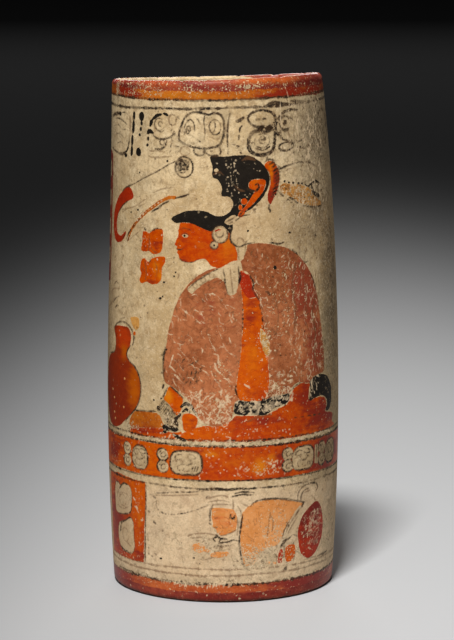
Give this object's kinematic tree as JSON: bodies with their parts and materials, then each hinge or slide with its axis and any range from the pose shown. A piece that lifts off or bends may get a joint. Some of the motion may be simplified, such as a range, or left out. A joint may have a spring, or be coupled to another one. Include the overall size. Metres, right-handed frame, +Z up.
{
  "type": "painted cylinder vase",
  "caption": "Tall hand-built cylinder vase with slightly bulging walls, a flat base and an open mouth, painted with figures, panels and blocks in orange, red, black and cream slip.",
  "frame": {"origin": "middle of the flat base, on the surface that the vase stands on", "axes": "+Z up along the vase, -Y towards the painted front that the picture shows, +X to the viewer's right"},
  "size_m": [0.1136, 0.1136, 0.2511],
  "materials": {
    "dark_red_slip": "low-sheen painted slip, dark red with an orange stripe",
    "bare_clay": "matt fired clay",
    "cream_slip": "matt cream slip, painted and worn",
    "orange_slip": "low-sheen orange-red slip, worn"
  },
  "bodies": {
    "root": {"floor_disc": "dark_red_slip", "seam_coil": "bare_clay", "panel_course": "cream_slip", "band_course": "orange_slip", "lower_scene_course": "cream_slip", "middle_scene_course": "cream_slip", "upper_scene_course": "cream_slip", "block_course": "cream_slip", "rim_coil": "orange_slip"}
  },
  "joints": []
}
